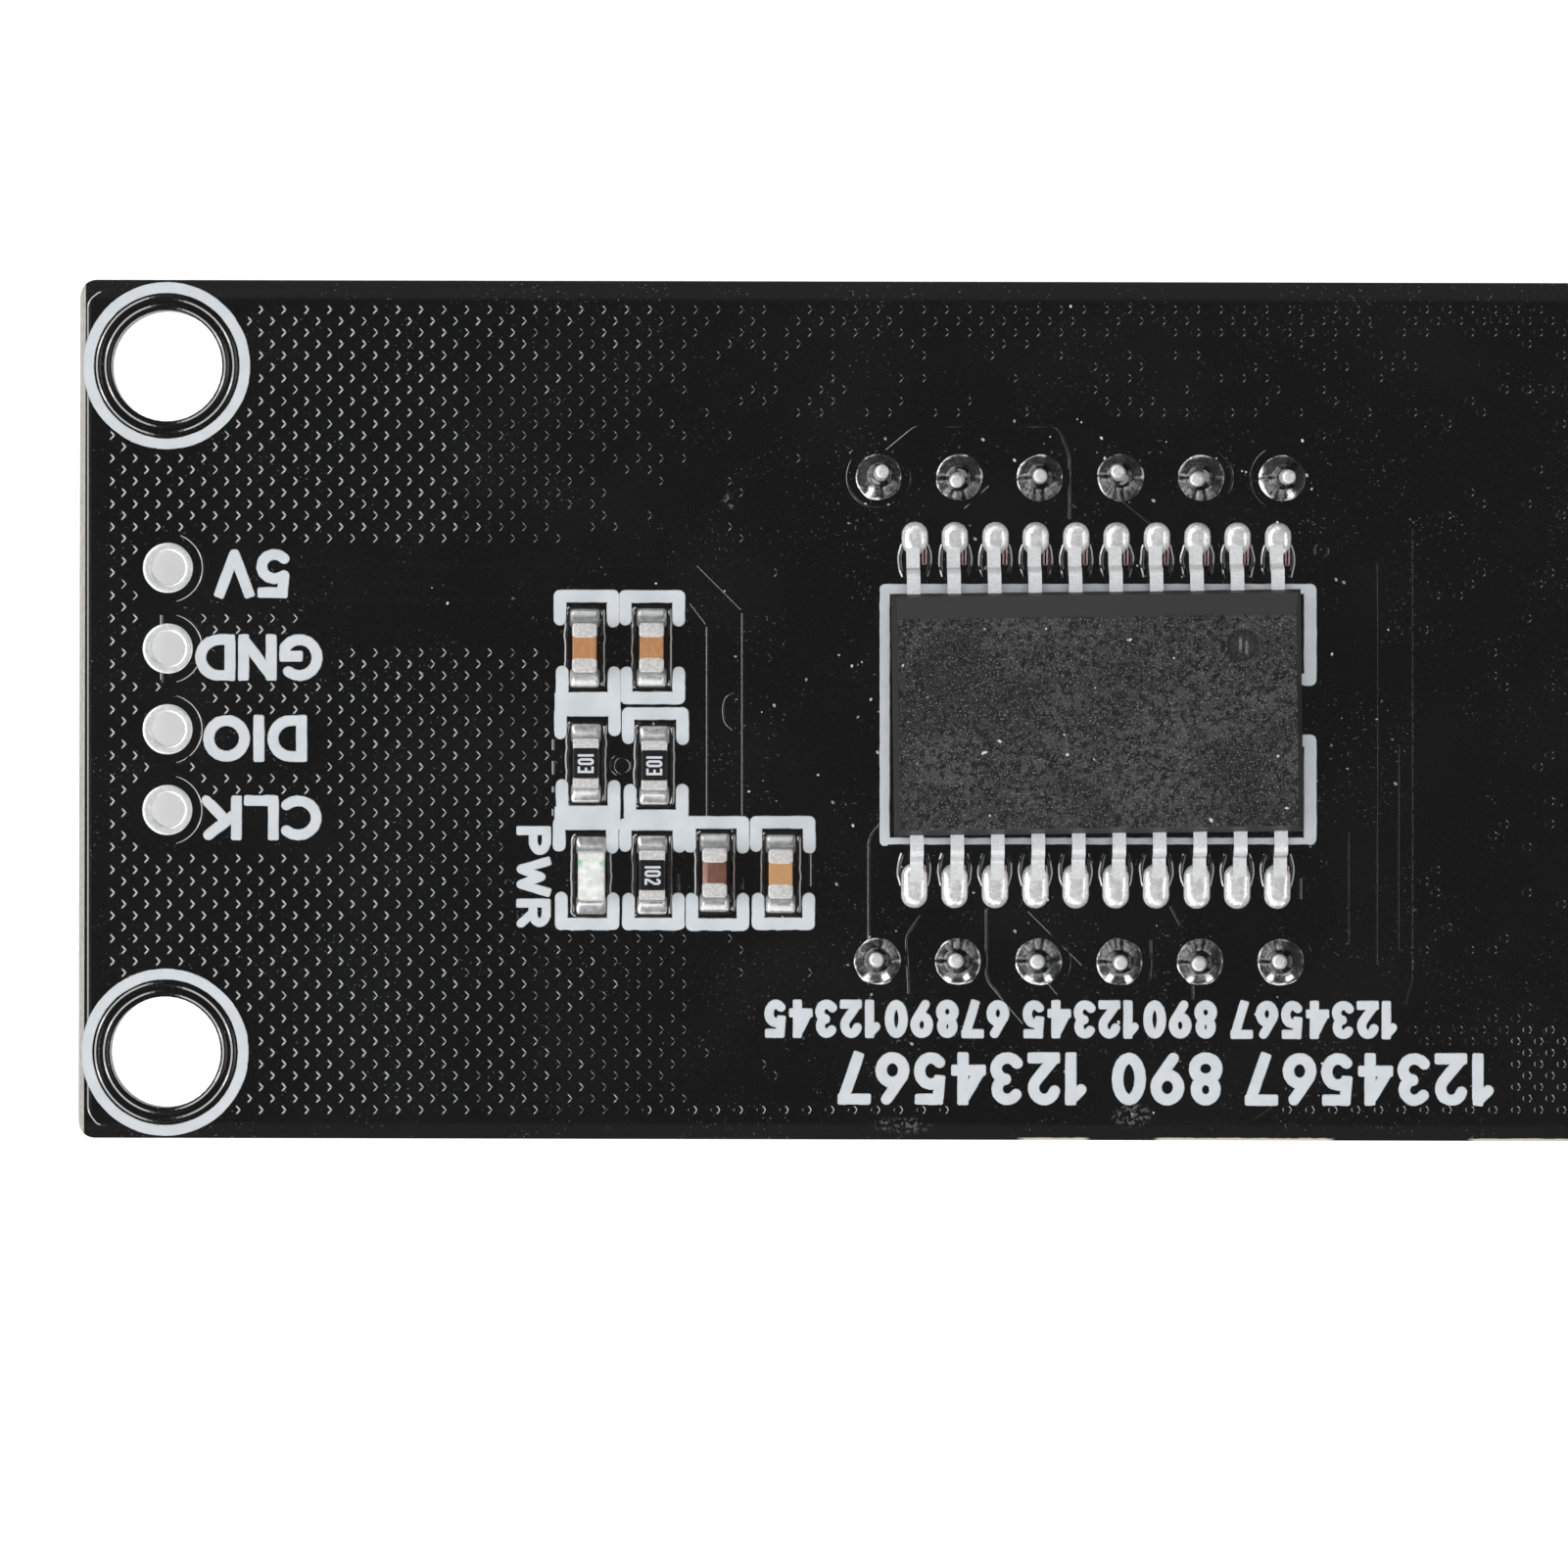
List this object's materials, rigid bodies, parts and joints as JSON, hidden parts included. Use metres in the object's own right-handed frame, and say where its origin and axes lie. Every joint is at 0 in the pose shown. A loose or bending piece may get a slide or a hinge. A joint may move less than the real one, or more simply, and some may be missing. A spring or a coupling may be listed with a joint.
{
  "type": "seven segment display module",
  "caption": "Numeric LED display module: display under a circuit board with driver chip, small parts, plated cable holes along one end and mounting holes in the corners.",
  "frame": {"origin": "middle of the board in plan, on the display's face, which the module rests on", "axes": "+X along the board away from the cable holes, +Y across it, +Z from the display's face to the back of the board"},
  "size_m": [0.063, 0.027, 0.0121],
  "materials": {
    "black_laminate": "glass-fibre laminate under glossy black solder mask",
    "green_laminate": "glass-fibre laminate with green mask",
    "tinned_copper": "tinned copper, satin",
    "shell_plastic": "white moulded plastic with a black painted face",
    "back_resin": "cast resin",
    "milky_resin": "milky diffusing resin",
    "die": "semiconductor die",
    "pin_metal": "tinned steel, trimmed",
    "case_moulding": "moulded epoxy, fine speckle",
    "lead_metal": "tinned copper alloy, satin",
    "solder": "bright solder",
    "tinned_terminal": "tinned, satin",
    "brown_ceramic": "dark brown ceramic",
    "tan_ceramic": "tan ceramic",
    "black_coating": "black glaze with plain numbers",
    "white_ceramic": "white alumina",
    "lamp_base": "white laminate",
    "lamp_lens": "milky clear resin",
    "white_ink": "white printed ink"
  },
  "bodies": {
    "root": {"board": "black_laminate", "header_pad_1": "tinned_copper", "header_pad_2": "tinned_copper", "header_pad_3": "tinned_copper", "header_pad_4": "tinned_copper", "display_shell": "shell_plastic", "display_inner_board": "green_laminate", "display_back_resin": "back_resin", "digit_1_segments": "milky_resin", "digit_2_segments": "milky_resin", "digit_3_segments": "milky_resin", "digit_4_segments": "milky_resin", "colon_dots": "milky_resin", "light_dies": "die", "display_pin_01": "pin_metal", "display_pin_02": "pin_metal", "display_pin_03": "pin_metal", "display_pin_04": "pin_metal", "display_pin_05": "pin_metal", "display_pin_06": "pin_metal", "display_pin_07": "pin_metal", "display_pin_08": "pin_metal", "display_pin_09": "pin_metal", "display_pin_10": "pin_metal", "display_pin_11": "pin_metal", "display_pin_12": "pin_metal", "pin_solder_upper": "solder", "pin_solder_lower": "solder", "driver_case": "case_moulding", "driver_leads_upper": "lead_metal", "driver_leads_lower": "lead_metal", "driver_solder_upper": "solder", "driver_solder_lower": "solder", "capacitor_1_body": "tan_ceramic", "capacitor_2_body": "tan_ceramic", "capacitor_3_body": "brown_ceramic", "capacitor_4_body": "tan_ceramic", "capacitor_1_terminals": "tinned_terminal", "capacitor_2_terminals": "tinned_terminal", "capacitor_3_terminals": "tinned_terminal", "capacitor_4_terminals": "tinned_terminal", "resistor_1_body": "white_ceramic", "resistor_2_body": "white_ceramic", "resistor_3_body": "white_ceramic", "resistor_1_coating": "black_coating", "resistor_2_coating": "black_coating", "resistor_3_coating": "black_coating", "resistor_1_terminals": "tinned_terminal", "resistor_2_terminals": "tinned_terminal", "resistor_3_terminals": "tinned_terminal", "indicator_base": "lamp_base", "indicator_lens": "lamp_lens", "indicator_terminals": "tinned_terminal", "capacitor_solder": "solder", "resistor_solder": "solder", "indicator_solder": "solder", "board_print": "white_ink"}
  },
  "joints": []
}
